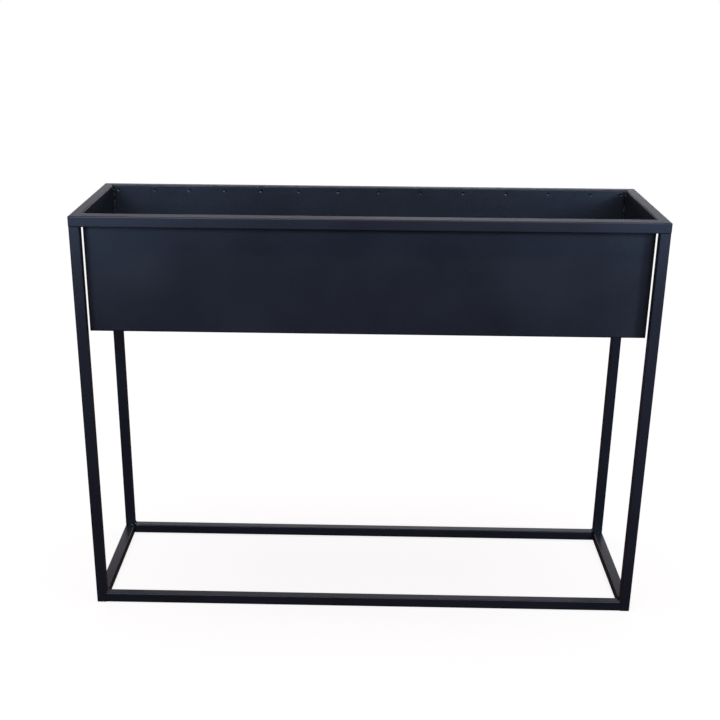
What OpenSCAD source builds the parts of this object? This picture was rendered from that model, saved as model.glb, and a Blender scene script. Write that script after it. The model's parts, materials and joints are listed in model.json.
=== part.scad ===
// Raised planter: a folded steel trough, plug-welded into the top of a welded frame of square tube.
// X runs along the trough, Y from the front to the back, and Z up. Millimetres.
// The origin is the centre of the footprint, on the floor.

/* [Overall] */
// Width of the frame
width = 1100; // [700:10:1500]
// Depth of the frame, front to back
depth = 350; // [250:10:500]
// Height of the frame
height = 800; // [500:10:1100]

/* [Tube] */
// Side of the square tube
tube = 20; // [15:1:30]
// Depth of the front tube of the top ring, which is a flat tube as high as the others
front_tube = 30; // [20:1:50]
// Wall thickness of the tube
tube_wall = 1.5; // [1:0.1:3]
// Outside corner radius of the tube
tube_corner = 2; // [1:0.1:4]
// Thickness of the plates that close the legs
cap = 2; // [1:0.5:4]
// Fit-up gap around a plate that closes a leg
cap_gap = 0.1; // [0.05:0.05:0.5]

/* [Trough] */
// Height of the trough, from the underside of its floor to its rim
trough_height = 224; // [120:2:400]
// Distance of the trough's rim below the top of the ring
rim_drop = 2; // [0:0.5:6]
// Thickness of the trough's sheet
sheet = 1.5; // [1:0.25:3]
// Inside radius of the folds between the floor and the long walls
fold_radius = 1.5; // [0.5:0.25:6]
// Fit-up gap between the trough and the tubes around it
trough_gap = 0.2; // [0.1:0.1:1]
// Number of drain holes along the floor
drain_holes = 5; // [1:1:12]
// Diameter of a drain hole
drain_bore = 12; // [6:1:20]

/* [Welds] */
// Number of plug welds along each long wall
plug_welds = 14; // [4:1:24]
// Diameter of a plug weld
plug_bore = 7; // [4:0.5:9]
// Distance from the end of the trough to the first plug weld
plug_inset = 12; // [8:1:40]
// How far the row of plug welds, paced off by eye, strays from an even pitch
plug_stray = 24; // [0:1:28]
// How far the rim of a plug weld lies below the sheet around it
plug_sink = 0.3; // [0.1:0.1:0.5]
// Depth of the hollow in the middle of a plug weld
plug_dish = 0.6; // [0.1:0.1:0.8]
// Leg length of a fillet weld
fillet = 3; // [2:0.5:4]

/* [Hidden] */

$fn = 48;
// Overlap that lets a cutter pass through a face
cut = 1;

frame_black = "#2a2c34";
trough_black = "#23252d";
weld_black = "#1d1e24";

// Outer faces of the frame
left = -width / 2;
front = -depth / 2;
back = depth / 2;

// Legs stand under the ring
leg_height = height - tube;
leg_x = width / 2 - tube / 2;
leg_y = depth / 2 - tube / 2;
// The bore of a tube is never quite sharp in its corners
tube_bore_corner = max(tube_corner - tube_wall, 0.3);

// The trough fills the opening of the ring
trough_width = width - 2 * tube - 2 * trough_gap;
trough_front = front + front_tube + trough_gap;
trough_back = back - tube - trough_gap;
trough_depth = trough_back - trough_front;
trough_y = (trough_front + trough_back) / 2;
rim_z = height - rim_drop;
trough_bottom = rim_z - trough_height;
end_inner_x = trough_width / 2 - sheet;
drain_pitch = trough_width / drain_holes;

// Plug welds sit at mid-height of the ring, in holes through the long walls
plug_z = height - tube / 2;
plug_end = trough_width / 2 - plug_inset;
plug_pitch = 2 * plug_end / (plug_welds - 1);
plug_length = trough_gap + sheet - plug_sink;
// Radius of the ball that hollows the face of a plug weld
plug_ball = (pow(plug_bore / 2, 2) + pow(plug_dish, 2)) / (2 * plug_dish);
// The row drifts one way and then the other, along this much of a wave
stray_start = -10;
stray_sweep = 260;

// ---- Tube ----

module round_rectangle(a, b, r) {
    square([a - 2 * r, b], center = true);
    square([a, b - 2 * r], center = true);
    for (x = [-1, 1], y = [-1, 1])
        translate([x * (a / 2 - r), y * (b / 2 - r)]) circle(r);
}

// Tube that stands on the XY plane, with its section centred on Z
module tube_up(a, b, length) {
    linear_extrude(length) difference() {
        round_rectangle(a, b, tube_corner);
        round_rectangle(a - 2 * tube_wall, b - 2 * tube_wall, tube_bore_corner);
    }
}

// Tube along X, centred on the origin. Its section is a along Y and b along Z
module tube_along_x(a, b, length) {
    translate([-length / 2, 0, 0]) rotate([90, 0, 90]) tube_up(a, b, length);
}

module tube_along_y(a, length) {
    rotate([0, 0, 90]) tube_along_x(a, a, length);
}

// Keeps what lies inside a plan outline, at the height of the ring
module mitre(outline) {
    intersection() {
        children();
        translate([0, 0, height - tube - cut]) linear_extrude(tube + 2 * cut) polygon(outline);
    }
}

// ---- Top ring, mitred from corner to corner ----

module ring_front_tube() {
    color(frame_black)
    mitre([[left, front], [-left, front], [-left - tube, front + front_tube], [left + tube, front + front_tube]])
        translate([0, front + front_tube / 2, height - tube / 2]) tube_along_x(front_tube, tube, width);
}

module ring_back_tube() {
    color(frame_black)
    mitre([[left, back], [left + tube, back - tube], [-left - tube, back - tube], [-left, back]])
        translate([0, back - tube / 2, height - tube / 2]) tube_along_x(tube, tube, width);
}

module ring_side_tube() {
    color(frame_black)
    mitre([[left, front], [left + tube, front + front_tube], [left + tube, back - tube], [left, back]])
        translate([-leg_x, 0, height - tube / 2]) tube_along_y(tube, depth);
}

// ---- Legs and base. The rails butt between the legs ----

module leg(side, end) {
    color(frame_black) translate([side * leg_x, end * leg_y, 0]) tube_up(tube, tube, leg_height);
}

module leg_cap(side, end) {
    inner = tube - 2 * tube_wall - 2 * cap_gap;
    color(weld_black) translate([side * leg_x, end * leg_y, 0])
        linear_extrude(cap) round_rectangle(inner, inner, tube_bore_corner);
}

module base_long_rail(end) {
    color(frame_black) translate([0, end * leg_y, tube / 2]) tube_along_x(tube, tube, width - 2 * tube);
}

module base_side_rail(side) {
    color(frame_black) translate([side * leg_x, 0, tube / 2]) tube_along_y(tube, depth - 2 * tube);
}

// ---- Trough ----

// Section of the trough across Y and Z, as a solid block drawn in by inset from its outer faces
module trough_section(inset) {
    half = trough_depth / 2 - inset;
    r = fold_radius + sheet - inset;
    translate([-half, inset + r]) square([2 * half, trough_height - inset - r]);
    translate([-half + r, inset]) square([2 * half - 2 * r, trough_height - inset]);
    for (side = [-1, 1]) translate([side * (half - r), inset + r]) circle(r);
}

// Stands a section of the trough up and draws it out along X from x
module along_trough(x, length) {
    translate([x, trough_y, trough_bottom]) rotate([90, 0, 90]) linear_extrude(length) children();
}

function plug_x(i) =
    let (u = i / (plug_welds - 1), is_end = i == 0 || i == plug_welds - 1)
    -plug_end + i * plug_pitch - (is_end ? 0 : plug_stray * sin(stray_start + stray_sweep * u));

// Puts its children at each plug weld of a long wall, with Z pointing into the trough
module at_plugs(end) {
    face = end < 0 ? front + front_tube : back - tube;
    for (i = [0 : plug_welds - 1])
        translate([plug_x(i), face, plug_z]) rotate([end * 90, 0, 0]) children();
}

module trough_shell() {
    color(trough_black) difference() {
        along_trough(-trough_width / 2, trough_width) difference() {
            trough_section(0);
            trough_section(sheet);
            translate([-trough_depth / 2 + sheet, trough_height - cut])
                square([trough_depth - 2 * sheet, 2 * cut]);
        }
        for (end = [-1, 1])
            at_plugs(end) cylinder(d = plug_bore, h = trough_gap + sheet + cut);
        for (i = [0 : drain_holes - 1])
            translate([(i + 0.5) * drain_pitch - trough_width / 2, trough_y, trough_bottom - cut])
                cylinder(d = drain_bore, h = sheet + 2 * cut);
    }
}

// Flat plate let in between the long walls, on top of the floor
module trough_end(side) {
    x = side < 0 ? -trough_width / 2 : end_inner_x;
    color(trough_black) along_trough(x, sheet) trough_section(sheet);
}

// ---- Welds ----

// Weld metal in a drilled hole, fused to the tube behind it, with a hollow face
module plug_welds_of(end) {
    color(weld_black) at_plugs(end) difference() {
        cylinder(d = plug_bore, h = plug_length);
        translate([0, 0, plug_length + plug_ball - plug_dish]) sphere(plug_ball);
    }
}

// Three-cornered bead along Z that fills the corner between the +X and +Y half-planes
module bead(length) {
    linear_extrude(length) polygon([[0, 0], [fillet, 0], [0, fillet]]);
}

// Fillet weld inside one end of the trough: down one corner, along the floor and up the other corner
module seam_weld(side) {
    turned = side > 0 ? 180 : 0;
    inner_half = trough_depth / 2 - sheet;
    color(weld_black)
    translate([0, trough_y, 0]) rotate([0, 0, turned]) translate([0, -trough_y, 0])
    intersection() {
        along_trough(-end_inner_x, fillet) trough_section(sheet);
        translate([-end_inner_x, trough_y, trough_bottom + sheet]) union() {
            translate([0, -inner_half, 0]) bead(trough_height);
            mirror([0, 1, 0]) translate([0, -inner_half, 0]) bead(trough_height);
            translate([0, inner_half, 0]) rotate([90, 0, 0]) bead(2 * inner_half);
        }
    }
}

// Bead between the inner face of each leg and the underside of the ring's side tube
module leg_top_welds() {
    length = tube - 2 * tube_corner;
    color(weld_black)
    for (side = [-1, 1], end = [0, 1]) mirror([0, end, 0])
        translate([side * leg_x - length / 2, front + tube, leg_height])
        rotate([0, 90, 0]) bead(length);
}

// Beads on top of each rail against its leg, and up the corner between the two rails
module base_corner_welds() {
    length = tube - 2 * tube_corner;
    color(weld_black)
    for (side = [0, 1], end = [0, 1]) mirror([side, 0, 0]) mirror([0, end, 0]) {
        translate([left + tube, front + tube / 2 + length / 2, tube]) rotate([90, 0, 0]) bead(length);
        translate([left + tube / 2 - length / 2, front + tube, tube])
            rotate([0, 90, 0]) mirror([1, 0, 0]) bead(length);
        translate([left + tube, front + tube, tube_corner]) bead(length);
    }
}

ring_front_tube();
ring_back_tube();
ring_side_tube();  // ring_left_tube
mirror([1, 0, 0]) ring_side_tube();  // ring_right_tube
leg(-1, -1);  // leg_front_left
leg(1, -1);  // leg_front_right
leg(-1, 1);  // leg_back_left
leg(1, 1);  // leg_back_right
base_long_rail(-1);  // base_front_rail
base_long_rail(1);  // base_back_rail
base_side_rail(-1);  // base_left_rail
base_side_rail(1);  // base_right_rail
leg_cap(-1, -1);  // leg_cap_front_left
leg_cap(1, -1);  // leg_cap_front_right
leg_cap(-1, 1);  // leg_cap_back_left
leg_cap(1, 1);  // leg_cap_back_right
trough_shell();
trough_end(-1);  // trough_left_end
trough_end(1);  // trough_right_end
plug_welds_of(-1);  // plug_welds_front
plug_welds_of(1);  // plug_welds_back
seam_weld(-1);  // seam_weld_left
seam_weld(1);  // seam_weld_right
leg_top_welds();
base_corner_welds();
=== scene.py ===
# %% [markdown]
# # Raised planter on legs
# A long trough of folded sheet steel hangs at the top of an open frame of welded square tube.
# The tubes and sheets are straight, plain shapes, so their exact solids are kept and given a
# finish. What a welder's hand leaves, the hollow plug welds and the rippled beads, is modelled
# here. The lesson goes from the measures to the camera, the light, the coats and the welds.

import json
import math

import bmesh
import bpy
from mathutils import Matrix, Vector, noise


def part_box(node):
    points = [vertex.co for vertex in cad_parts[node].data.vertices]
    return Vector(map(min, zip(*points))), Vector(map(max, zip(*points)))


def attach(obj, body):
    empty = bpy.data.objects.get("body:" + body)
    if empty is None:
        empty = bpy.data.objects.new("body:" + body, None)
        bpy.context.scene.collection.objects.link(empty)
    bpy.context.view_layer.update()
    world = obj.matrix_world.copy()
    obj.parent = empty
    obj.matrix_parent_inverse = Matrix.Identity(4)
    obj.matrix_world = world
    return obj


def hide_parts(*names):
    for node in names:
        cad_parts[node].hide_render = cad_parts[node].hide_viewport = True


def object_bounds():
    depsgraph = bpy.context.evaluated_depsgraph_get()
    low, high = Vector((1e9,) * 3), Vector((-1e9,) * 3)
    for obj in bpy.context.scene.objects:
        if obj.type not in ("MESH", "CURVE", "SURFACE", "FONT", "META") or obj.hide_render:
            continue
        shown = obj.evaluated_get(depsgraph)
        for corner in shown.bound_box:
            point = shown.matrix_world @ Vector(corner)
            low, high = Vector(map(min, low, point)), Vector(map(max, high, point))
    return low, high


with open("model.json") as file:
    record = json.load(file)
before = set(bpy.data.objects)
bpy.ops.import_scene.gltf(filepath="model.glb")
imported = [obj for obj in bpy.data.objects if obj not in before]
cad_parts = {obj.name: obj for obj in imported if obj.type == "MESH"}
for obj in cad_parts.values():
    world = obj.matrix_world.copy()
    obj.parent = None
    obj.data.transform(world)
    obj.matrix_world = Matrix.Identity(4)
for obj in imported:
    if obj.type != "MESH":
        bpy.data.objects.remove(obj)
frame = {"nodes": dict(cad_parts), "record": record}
cad_low, cad_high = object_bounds()
print("frame:", len(frame["nodes"]), "pieces, from", cad_low[:], "to", cad_high[:])

# %% [markdown]
# ## Measures
# Every place below is worked out from the solids, so the looks follow when a size changes.
# The side of the tube is read off a leg, and the thickness of the sheet off an end plate.

# %% Measure the tube and the sheet
mm = 0.001
leg_low, leg_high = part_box("leg_front_left")
tube = leg_high.x - leg_low.x
left_end_low, left_end_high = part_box("trough_left_end")
right_end_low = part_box("trough_right_end")[0]
sheet = left_end_high.x - left_end_low.x
print(f"tube {tube / mm:.1f} mm, sheet {sheet / mm:.2f} mm")

# %% [markdown]
# ## Camera
# The camera stands in front, at chest height, and looks down on the trough. Its lens is shifted
# sideways and up, which moves the planter within the frame without turning the camera.
# A camera looks along its own -Z axis. So it is tilted up from looking at the floor, turned
# round the upright axis, and rolled a little round the line that it looks along.

# %% Place the camera
camera_place = Matrix.Translation((-0.0042, -2.4023, 1.2470))
camera_turn = Matrix.Rotation(math.radians(1.308), 4, "Z")
camera_tilt = Matrix.Rotation(math.radians(90 - 22.798), 4, "X")
camera_roll = Matrix.Rotation(math.radians(0.389), 4, "Z")
camera_data = bpy.data.cameras.new("camera")
camera_data.sensor_width = 36
camera_data.lens = 61.28
camera_data.shift_x = 0.0328
camera_data.shift_y = 0.1494
camera = bpy.data.objects.new("camera", camera_data)
camera.matrix_world = camera_place @ camera_turn @ camera_tilt @ camera_roll
bpy.context.scene.collection.objects.link(camera)
bpy.context.scene.camera = camera
print("the camera looks along", (camera.matrix_world.to_3x3() @ Vector((0, 0, -1)))[:])

# %% [markdown]
# ## Building materials
# A finish is a small network of nodes. One function adds a node with its settings and links.
# Another turns the sRGB colours that people quote into the linear ones that light adds up in.

# %% Helpers for colours and nodes
def linear(code):
    """Linear colour of an sRGB hex code such as "#26282e"."""
    shares = [int(code[i:i + 2], 16) / 255 for i in (1, 3, 5)]
    return [s / 12.92 if s <= 0.04045 else ((s + 0.055) / 1.055) ** 2.4 for s in shares] + [1]


def add(tree, kind, inputs, **settings):
    """Adds a node, sets its properties, and sets or links its inputs, given by name or number."""
    node = tree.nodes.new(kind)
    for name, value in settings.items():
        setattr(node, name, value)
    for name, value in inputs.items():
        if isinstance(value, bpy.types.NodeSocket):
            tree.links.new(value, node.inputs[name])
        else:
            node.inputs[name].default_value = value
    return node


def empty_material(name):
    """A new material with no nodes in it yet."""
    material = bpy.data.materials.new(name)
    material.use_nodes = True
    material.node_tree.nodes.clear()
    return material


print("black in linear light:", [round(share, 4) for share in linear("#26282e")])

# %% [markdown]
# ## Powder coat
# Powder is sprayed on dry, clings by static charge and melts in an oven. The thick melt doesn't
# level out, so it keeps soft dimples called orange peel. A satin powder also has a fine grain,
# which spreads its shine. Here and there a speck of dust is baked in and stands out as a nib.
# Under the coat, drawn tube and rolled sheet are never dead flat, which bends the shine a little.
# A coat of plastic on steel is a dielectric: its metallic is 0 and its IOR about 1.5.

# %% Powder coat of any kind
peel_size = 5 * mm      # real dimples are 1 to 2 mm, too fine to show, so these are coarser
grain_size = 2.5 * mm   # real grain is about 0.1 mm, so this too is as coarse as it needs to show
cloud_size = 150 * mm
nib_spacing = 42 * mm
nib_radius = 0.9 * mm
nib_height = 0.12 * mm
nib_colour = "#5a5c62"  # paler than the coat
shine_spread = 0.05     # how far the grain moves the roughness up and down
tone_low = 0.35         # smooth noise seldom leaves its middle range, so these are stretched to 0 and 1
tone_high = 0.65
grain_low = 0.3
grain_high = 0.7


def clouds(tree, place, size, detail):
    """Smooth noise from 0 to 1, with patches of a given size."""
    inputs = {"Vector": place, "Scale": 1 / size, "Detail": detail}
    return add(tree, "ShaderNodeTexNoise", inputs).outputs[0]


def powder_coat(name, dark, light, roughness, peel_height, wave_height):
    """A satin powder coat between two colours, with the heights of its dimples and of the
    steel's own waves."""
    material = empty_material(name)
    tree = material.node_tree
    place = add(tree, "ShaderNodeTexCoord", {}).outputs["Object"]
    cloud = clouds(tree, place, cloud_size, 2)
    grain = clouds(tree, place, grain_size, 3)
    peel = clouds(tree, place, peel_size, 1)
    nearest = add(tree, "ShaderNodeTexVoronoi", {
        "Vector": place, "Scale": 1 / nib_spacing}).outputs["Distance"]
    nib = add(tree, "ShaderNodeMapRange", {
        "Value": nearest, "From Min": 0, "From Max": nib_radius / nib_spacing,
        "To Min": 1, "To Max": 0}, interpolation_type="SMOOTHSTEP").outputs[0]
    tone = add(tree, "ShaderNodeMix", {0: 0.5, 2: cloud, 3: grain}).outputs[0]
    tone = add(tree, "ShaderNodeMapRange", {
        "Value": tone, "From Min": tone_low, "From Max": tone_high}).outputs[0]
    colour = add(tree, "ShaderNodeMix", {
        0: tone, 6: linear(dark), 7: linear(light)}, data_type="RGBA").outputs[2]
    colour = add(tree, "ShaderNodeMix", {
        0: nib, 6: colour, 7: linear(nib_colour)}, data_type="RGBA").outputs[2]
    shine = add(tree, "ShaderNodeMapRange", {
        "Value": grain, "From Min": grain_low, "From Max": grain_high,
        "To Min": roughness - shine_spread, "To Max": roughness + shine_spread}).outputs[0]
    waves = add(tree, "ShaderNodeMath", {
        0: cloud, 1: wave_height}, operation="MULTIPLY").outputs[0]
    height = add(tree, "ShaderNodeMath", {
        0: peel, 1: peel_height, 2: waves}, operation="MULTIPLY_ADD").outputs[0]
    height = add(tree, "ShaderNodeMath", {
        0: nib, 1: nib_height, 2: height}, operation="MULTIPLY_ADD").outputs[0]
    bump = add(tree, "ShaderNodeBump", {"Height": height, "Strength": 1, "Distance": 1}).outputs[0]
    shader = add(tree, "ShaderNodeBsdfPrincipled", {
        "Base Color": colour, "Roughness": shine, "IOR": 1.5, "Metallic": 0,
        "Normal": bump}).outputs[0]
    add(tree, "ShaderNodeOutputMaterial", {"Surface": shader})
    return material


# %% [markdown]
# ## The three coats
# All the steel was coated in one go, in one satin black. Tube is the smoothest ground for it.
# The thin sheet is wavier. Weld metal keeps its ripples and pores, so its coat is lumpier. It is
# made shinier too. Its colour is darker than the real coat on every weld: this is painted shade,
# so that the shaded upper side of the hollow of each plug weld stands out from the sheet.

# %% Make the coats
tube_coat = powder_coat("powder-coated steel tube", "#1d1c20", "#26252a", 0.34, 0.03 * mm, 0.3 * mm)
sheet_coat = powder_coat("powder-coated sheet steel", "#19191d", "#27272b", 0.34, 0.05 * mm, 2.4 * mm)
# the weld coat's darker colours are painted shade for the shaded upper side of each plug weld's hollow
weld_coat = powder_coat("powder-coated weld metal", "#0e0e12", "#1d1d21", 0.27, 0.08 * mm, 0)
print("coats:", tube_coat.name, "/", sheet_coat.name, "/", weld_coat.name)

# %% [markdown]
# ## Coat the solids
# A solid that keeps its shape only needs its finish. The record says which slot each is in.

# %% Give every solid its coat
coats = {"frame_coat": tube_coat, "trough_coat": sheet_coat, "weld_coat": weld_coat}
for part in frame["record"]["subparts"]:
    mesh = frame["nodes"][part["node"]].data
    mesh.materials.clear()
    mesh.materials.append(coats[part["material_slot"]])

# %% [markdown]
# ## Floor
# A wide sheet of pale matt paper lies under the planter, a hair below it so that the two don't
# share a plane. It mostly glows by itself, so it stays evenly white, and one soft sun adds a faint
# shadow. It is left out of the light that the black coats reflect, which keeps them dark.

# %% Lay the floor
floor_radius = 12
floor_gap = 0.5 * mm
fibre_size = 4 * mm
floor_mesh = bpy.data.meshes.new("floor")
bm = bmesh.new()
bmesh.ops.create_circle(bm, cap_ends=True, segments=64, radius=floor_radius)
bmesh.ops.translate(bm, verts=bm.verts, vec=(0, 0, cad_low.z - floor_gap))
bm.to_mesh(floor_mesh)
bm.free()
floor = bpy.data.objects.new("floor", floor_mesh)
floor.visible_glossy = False
floor.visible_diffuse = False
bpy.context.scene.collection.objects.link(floor)

glow = 0.85
paper = empty_material("pale matt paper")
tree = paper.node_tree
place = add(tree, "ShaderNodeTexCoord", {}).outputs["Object"]
fibres = clouds(tree, place, fibre_size, 2)
colour = add(tree, "ShaderNodeMix", {
    0: fibres, 6: linear("#f4f4f4"), 7: linear("#fafafa")}, data_type="RGBA")
shader = add(tree, "ShaderNodeBsdfPrincipled", {
    "Base Color": colour.outputs[2], "Roughness": 0.9, "Specular IOR Level": 0,
    "Emission Color": linear("#ffffff"), "Emission Strength": glow}).outputs[0]
add(tree, "ShaderNodeOutputMaterial", {"Surface": shader})
floor_mesh.materials.append(paper)
print("floor radius", floor_radius, "m")

# %% [markdown]
# ## Studio light
# Black satin shows little of its own colour: what the eye reads is the room in its shine.
# Small cool softboxes stand close in front, left and right of the camera. They light the ends of
# the trough's face and leave its middle dark. Two long boxes behind shine off the flat tops of the
# ring at a shallow angle, and a low one fills in the back of the planter. One overhead, a little
# in front, puts a bright line on every rounded front edge and a spot in every hollow weld. Behind
# it all the room is plain white where it is seen directly, and dim and warm where it is only
# reflected.

# %% Light the room
world = bpy.data.worlds.new("studio")
bpy.context.scene.world = world
bpy.context.scene.view_settings.view_transform = "Standard"
world.use_nodes = True
tree = world.node_tree
tree.nodes.clear()
room = add(tree, "ShaderNodeBackground", {"Color": linear("#ffc8c4"), "Strength": 0.05}).outputs[0]
seen = add(tree, "ShaderNodeBackground", {"Color": linear("#ffffff"), "Strength": 1}).outputs[0]
direct = add(tree, "ShaderNodeLightPath", {}).outputs["Is Camera Ray"]
mixed = add(tree, "ShaderNodeMixShader", {0: direct, 1: room, 2: seen}).outputs[0]
add(tree, "ShaderNodeOutputWorld", {"Surface": mixed})

only_floor = bpy.data.collections.new("lit by the sun")
only_floor.objects.link(floor)
all_but_floor = bpy.data.collections.new("not lit by the boxes")
all_but_floor.objects.link(floor)
all_but_floor.collection_objects[0].light_linking.link_state = "EXCLUDE"


def placed_light(name, kind, place, aim, colour, energy, receivers):
    """A light at a place, facing a point, which lights only its receivers and isn't seen directly."""
    data = bpy.data.lights.new(name, kind)
    data.color = linear(colour)[:3]
    data.energy = energy
    light = bpy.data.objects.new(name, data)
    turn = (Vector(aim) - Vector(place)).to_track_quat("-Z", "Y").to_matrix().to_4x4()
    light.matrix_world = Matrix.Translation(place) @ turn
    light.visible_camera = False
    light.light_linking.receiver_collection = receivers
    bpy.context.scene.collection.objects.link(light)
    return light


def softbox(name, place, aim, width, height, watts, colour):
    """A rectangular softbox that lights the object."""
    box = placed_light(name, "AREA", place, aim, colour, watts, all_but_floor)
    box.data.shape = "RECTANGLE"
    box.data.size = width
    box.data.size_y = height


cool = "#b3d3ff"
warm = "#fff3ed"
front_y = -1.35
front_width = 0.4
front_height = 0.35
# name, place along X, height and watts of each box in front
front_boxes = (
    ("left upper inner", -0.5, 1.2, 4.8),
    ("left upper", -0.9, 1.2, 10.5),
    ("left lower", -0.9, 0.8, 1.6),
    ("right upper inner", 0.5, 1.2, 2),
    ("right upper", 0.9, 1.2, 5),
    ("right lower", 0.9, 0.8, 1),
    ("right upper outer", 1.4, 1.2, 28),
)
for name, x, z, watts in front_boxes:
    softbox(name + " box", (x, front_y, z), (x, 0, z), front_width, front_height, watts, cool)
softbox("left back box", (-1.35, 3, 1.1), (-1.35, 0, 0.8), 2.7, 0.35, 6.6, "#eef2ff")
softbox("right back box", (1.35, 3, 1.1), (1.35, 0, 0.8), 2.7, 0.35, 8.2, "#eef2ff")
softbox("rear fill box", (0, 2.4, 0.4), (0, 0.2, 0.5), 2.4, 0.6, 4, "#ffffff")
softbox("top box", (0, -1.3, 2.9), (0, 0, 0.7), 1.8, 0.3, 25, warm)

paper_albedo = linear("#f7f7f7")[0]
sun_strength = math.pi * (1 - glow) / paper_albedo    # glow and sun together make the paper white
sun = placed_light("floor sun", "SUN", (0, 0, 3), (0, 0, 0), "#ffffff", sun_strength, only_floor)
sun.data.angle = math.radians(60)

# %% [markdown]
# ## Plug welds
# The trough hangs on the ring by plug welds. Holes are drilled along its long walls, and the
# welder fills each one against the tube behind. The puddle climbs the side of the hole and sinks
# in the middle as it cools, so each plug is a small bowl with an uneven lip.
# Half a section of the bowl is spun round to make one plug. Smooth noise then dents it, read at
# the plug's own place in the row, so no two plugs are alike.

# %% Helpers for weld metal
def dent(bm, size, depth):
    """Moves each point along its normal by smooth noise of a given size, up to about depth."""
    bm.normal_update()
    moves = [(vertex, vertex.normal * noise.noise(vertex.co / size) * depth) for vertex in bm.verts]
    for vertex, move in moves:
        vertex.co += move


def finished_weld(name, bm, node):
    """Turns a bmesh of weld metal into a piece that rides on the frame and stands for a solid."""
    bmesh.ops.recalc_face_normals(bm, faces=bm.faces)
    mesh = bpy.data.meshes.new(name)
    bm.to_mesh(mesh)
    bm.free()
    mesh.shade_smooth()
    mesh.materials.append(weld_coat)
    piece = bpy.data.objects.new(name, mesh)
    bpy.context.scene.collection.objects.link(piece)
    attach(piece, "root")
    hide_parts(node)
    print(name, "has", len(mesh.polygons), "faces")


# %% [markdown]
# ## The rows of plugs
# A plug is spun once for each place, stood against the tube and put in the row. The places come
# from the solid that the row stands for: points of one plug lie close, and plugs lie far apart.

# %% Make the two rows of plug welds
plug_apart = 10 * mm    # steps within a plug are shorter than this, and gaps between plugs longer
plug_steps = 24
same_point = 0.01 * mm  # points nearer than this are merged
# radius and height along half a section, as shares of the plug's radius and depth
plug_profile = [(0, 0), (1, 0), (1, 1), (0.98, 1.04), (0.93, 1), (0.6, 0.24), (0.3, 0.06), (0, 0.04)]


def row_places(node):
    """Places along X of the plugs in a solid that holds a row of them."""
    xs = sorted(vertex.co.x for vertex in frame["nodes"][node].data.vertices)
    gaps = [(before, after) for before, after in zip(xs, xs[1:]) if after - before > plug_apart]
    starts = [xs[0]] + [after for before, after in gaps]
    ends = [before for before, after in gaps] + [xs[-1]]
    return [(start + end) / 2 for start, end in zip(starts, ends)]


for side, node in ((-1, "plug_welds_front"), (1, "plug_welds_back")):
    low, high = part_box(node)
    radius = (high.z - low.z) / 2
    depth = high.y - low.y
    back_face = low.y if side < 0 else high.y
    row = bmesh.new()
    for x in row_places(node):
        plug = bmesh.new()
        points = [plug.verts.new((share * radius, 0, rise * depth)) for share, rise in plug_profile]
        edges = [plug.edges.new(pair) for pair in zip(points, points[1:])]
        bmesh.ops.spin(plug, geom=points + edges, cent=(0, 0, 0), axis=(0, 0, 1),
                       angle=math.tau, steps=plug_steps, use_merge=True)
        bmesh.ops.remove_doubles(plug, verts=plug.verts, dist=same_point)
        bmesh.ops.recalc_face_normals(plug, faces=plug.faces)
        turn = Matrix.Rotation(side * math.pi / 2, 4, "X")
        place = Matrix.Translation((x, back_face, (low.z + high.z) / 2))
        bmesh.ops.transform(plug, matrix=place @ turn, verts=plug.verts)
        one = bpy.data.meshes.new("one plug")
        plug.to_mesh(one)
        plug.free()
        row.from_mesh(one)
        bpy.data.meshes.remove(one)
    dent(row, size=3 * mm, depth=0.15 * mm)
    finished_weld(node + "_hollow", row, node)

# %% [markdown]
# ## Fillet welds
# A fillet weld fills the corner between two plates with a rounded bead. The welder moves in
# small steps, and each step leaves a ripple. The bead is made as it is laid: a small section is
# pulled along the corner, ring by ring, and each ring swells and narrows with the ripples. Where
# a bead starts or turns a corner the metal piles up, so a round blob sits there.

# %% Helpers for beads
ripple = 2.4 * mm
rings_per_ripple = 4
bulge = 1.12            # how far the face of a bead stands out from the flat between its toes
toe_sink = 0.15 * mm    # how far a bead bites into the plates
least_rings = 4
thinnest = 0.9
swell = 0.1             # how much a bead grows over one ripple
stray = 0.08            # how much its size strays besides, in patches of stray_size
stray_size = 9 * mm
end_size = 0.7          # a bead tapers where it ends


def lay_bead(bm, start, end, first, second, leg):
    """Lays a rippled bead from start to end in the corner between two plates. first and second
    are the directions in which the plates leave the corner."""
    start, end, first, second = (Vector(item) for item in (start, end, first, second))
    along = (end - start).normalized()
    length = (end - start).length
    angles = [math.radians(degrees) for degrees in (0, 22, 45, 68, 90)]
    flat = [(math.cos(a), math.sin(a)) for a in angles]
    offsets = [(first * x + second * y) * leg / (x + y) * (bulge if 0 < i < 4 else 1)
               for i, (x, y) in enumerate(flat)]
    root = -(first + second) * toe_sink
    corners = [bm.verts.new(start + root + offset) for offset in [Vector((0, 0, 0))] + offsets]
    cap = bm.faces.new(corners)
    rings = max(least_rings, round(length / ripple * rings_per_ripple))
    size = 1
    for ring in range(1, rings + 1):
        made = bmesh.ops.extrude_face_region(bm, geom=[cap])["geom"]
        cap = next(item for item in made if isinstance(item, bmesh.types.BMFace))
        old = start + root + along * length * (ring - 1) / rings
        new = start + root + along * length * ring / rings
        wave = (ring % rings_per_ripple) / rings_per_ripple
        new_size = thinnest + swell * wave + stray * noise.noise(new / stray_size)
        if ring == rings:
            new_size = end_size
        for vertex in cap.verts:
            vertex.co = new + (vertex.co - old) * new_size / size
        size = new_size


def add_blob(bm, centre, radius):
    """A blob of weld metal where a bead starts or turns."""
    blob = bmesh.ops.create_icosphere(bm, subdivisions=3, radius=radius)["verts"]
    bmesh.ops.translate(bm, verts=blob, vec=centre)


# %% [markdown]
# ## Seams at the ends of the trough
# Each end plate is let in between the long walls and welded on the inside: down one corner, along
# the floor and up the other corner. Both ends are the same, so one loop makes them.

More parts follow.
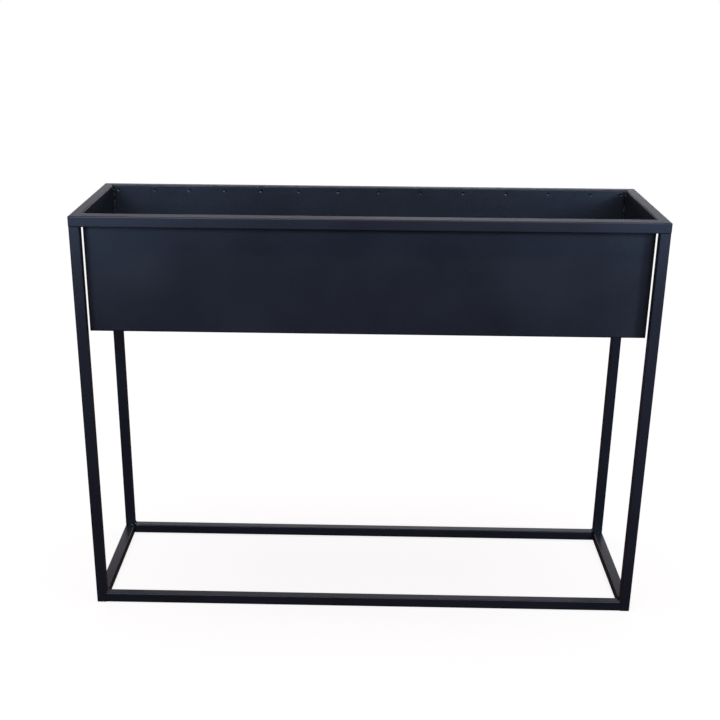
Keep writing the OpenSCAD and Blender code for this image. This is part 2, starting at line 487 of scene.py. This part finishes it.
# %% Weld the ends of the trough
trough_low, trough_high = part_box("trough_shell")
floor_top = trough_low.z + sheet
front_inside = trough_low.y + sheet
back_inside = trough_high.y - sheet
seam_leg = 3 * mm
blob_inset = 2 * mm
seam_blob = 3.2 * mm
ends = (("seam_weld_left", left_end_high.x, 1), ("seam_weld_right", right_end_low.x, -1))
for node, x, inward in ends:
    seam = bmesh.new()
    across = (inward, 0, 0)
    rim = trough_high.z
    lay_bead(seam, (x, front_inside, rim), (x, front_inside, floor_top), across, (0, 1, 0), seam_leg)
    lay_bead(seam, (x, front_inside, floor_top), (x, back_inside, floor_top), across, (0, 0, 1),
             seam_leg)
    lay_bead(seam, (x, back_inside, rim), (x, back_inside, floor_top), across, (0, -1, 0), seam_leg)
    for y, out in ((front_inside, 1), (back_inside, -1)):
        corner = Vector((x, y, floor_top))
        add_blob(seam, corner + Vector((inward, out, 1)) * blob_inset, seam_blob)
    dent(seam, size=4 * mm, depth=0.3 * mm)
    finished_weld(node + "_bead", seam, node)

# %% [markdown]
# ## Beads of the frame
# The rails butt between the legs, with a short bead on top of each rail and one up the inner
# corner between the two. Under the ring a bead joins each leg to a side tube.
# The four corners mirror each other, so the loops run over their signs.

# %% Weld the frame
rail_low, rail_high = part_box("base_front_rail")
ring_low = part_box("ring_front_tube")[0]
frame_leg = 3 * mm
base_blob = 2.6 * mm
base_blob_inset = 1 * mm
round_edge = 2 * mm     # the beads stop short of the rounded edges of the tube
base = bmesh.new()
top = bmesh.new()
for x_side in (-1, 1):
    for y_side in (-1, 1):
        inner_x = x_side * (cad_high.x - tube)
        inner_y = y_side * (cad_high.y - tube)
        near_x = x_side * (cad_high.x - tube + round_edge)
        far_x = x_side * (cad_high.x - round_edge)
        near_y = y_side * (cad_high.y - tube + round_edge)
        far_y = y_side * (cad_high.y - round_edge)
        away_x = (-x_side, 0, 0)
        away_y = (0, -y_side, 0)
        up = (0, 0, 1)
        down = (0, 0, -1)
        rail_top = rail_high.z
        rail_foot = rail_low.z + round_edge
        under = ring_low.z
        lay_bead(base, (inner_x, near_y, rail_top), (inner_x, far_y, rail_top), away_x, up, frame_leg)
        lay_bead(base, (near_x, inner_y, rail_top), (far_x, inner_y, rail_top), away_y, up, frame_leg)
        lay_bead(base, (inner_x, inner_y, rail_foot), (inner_x, inner_y, rail_top), away_x, away_y,
                 frame_leg)
        blob_place = (inner_x - x_side * base_blob_inset, inner_y - y_side * base_blob_inset,
                      rail_top + base_blob_inset)
        add_blob(base, blob_place, base_blob)
        lay_bead(top, (near_x, inner_y, under), (far_x, inner_y, under), away_y, down, frame_leg)
dent(base, size=4 * mm, depth=0.3 * mm)
dent(top, size=4 * mm, depth=0.3 * mm)
finished_weld("base_corner_beads", base, "base_corner_welds")
finished_weld("leg_top_beads", top, "leg_top_welds")
